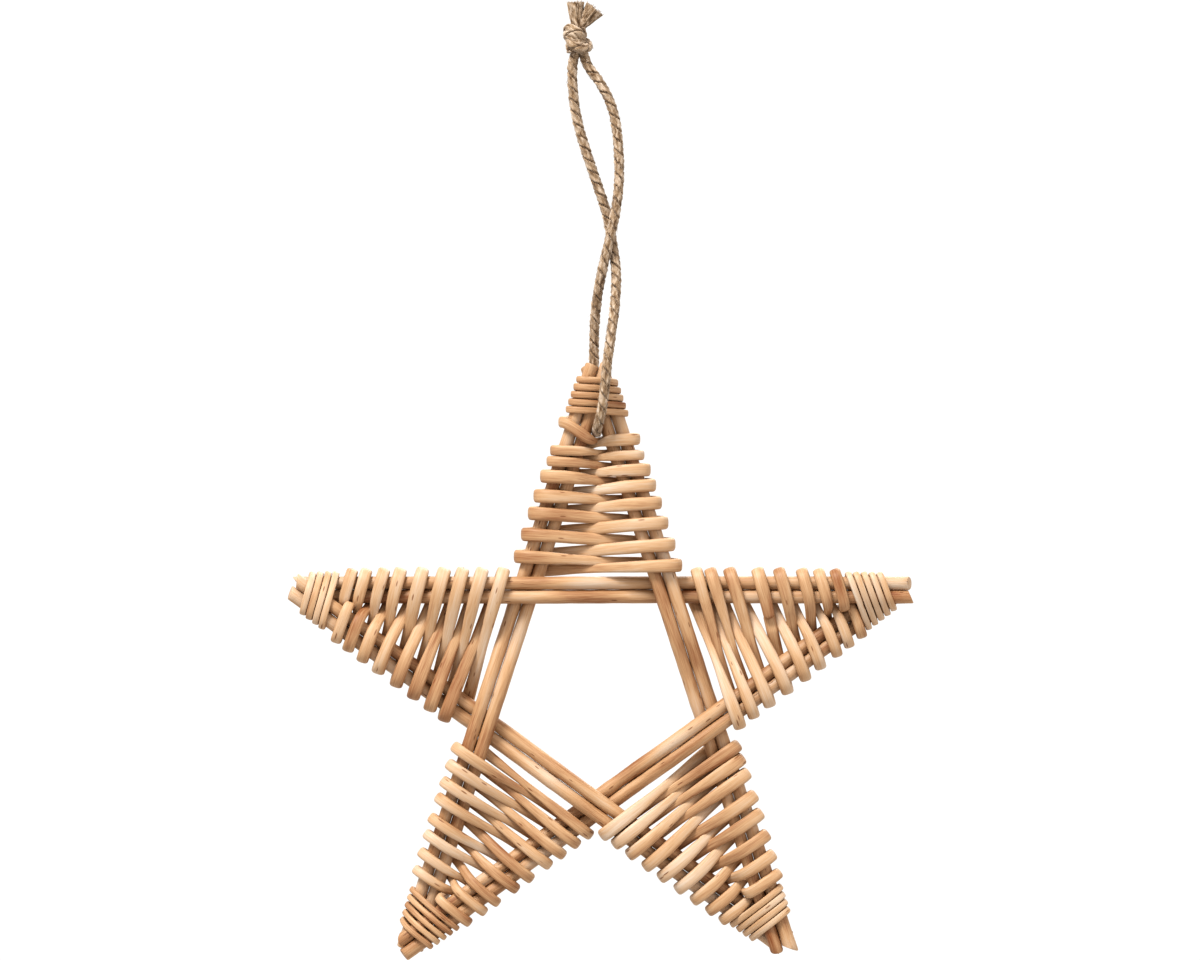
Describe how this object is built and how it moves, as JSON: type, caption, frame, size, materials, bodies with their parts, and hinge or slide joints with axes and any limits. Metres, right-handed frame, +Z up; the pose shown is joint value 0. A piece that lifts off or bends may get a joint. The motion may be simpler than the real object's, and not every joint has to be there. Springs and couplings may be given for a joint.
{
  "type": "willow star ornament",
  "caption": "Flat pentagram star of paired peeled willow rods, its arms laced with willow weavers, hanging on a knotted jute twine loop.",
  "frame": {"origin": "inside the twine loop just under its knot, where a nail or hook holds the ornament", "axes": "+Z up, as it hangs; -Y out of the star's front; +X to the right as seen from the front"},
  "size_m": [0.2545, 0.0251, 0.3853],
  "materials": {
    "peeled_willow_rod": "peeled, smooth, slightly waxy",
    "flattened_willow_weaver": "peeled, dry, fine long grain",
    "jute_twine": "hairy two-ply twist"
  },
  "bodies": {
    "root": {"rod_1_outer": "peeled_willow_rod", "rod_1_inner": "peeled_willow_rod", "rod_2_outer": "peeled_willow_rod", "rod_2_inner": "peeled_willow_rod", "rod_3_outer": "peeled_willow_rod", "rod_3_inner": "peeled_willow_rod", "rod_4_outer": "peeled_willow_rod", "rod_4_inner": "peeled_willow_rod", "rod_5_outer": "peeled_willow_rod", "rod_5_inner": "peeled_willow_rod", "weaver_top": "flattened_willow_weaver", "weaver_right": "flattened_willow_weaver", "weaver_lower_right": "flattened_willow_weaver", "weaver_lower_left": "flattened_willow_weaver", "weaver_left": "flattened_willow_weaver", "twine_loop": "jute_twine", "twine_knot": "jute_twine"}
  },
  "joints": []
}
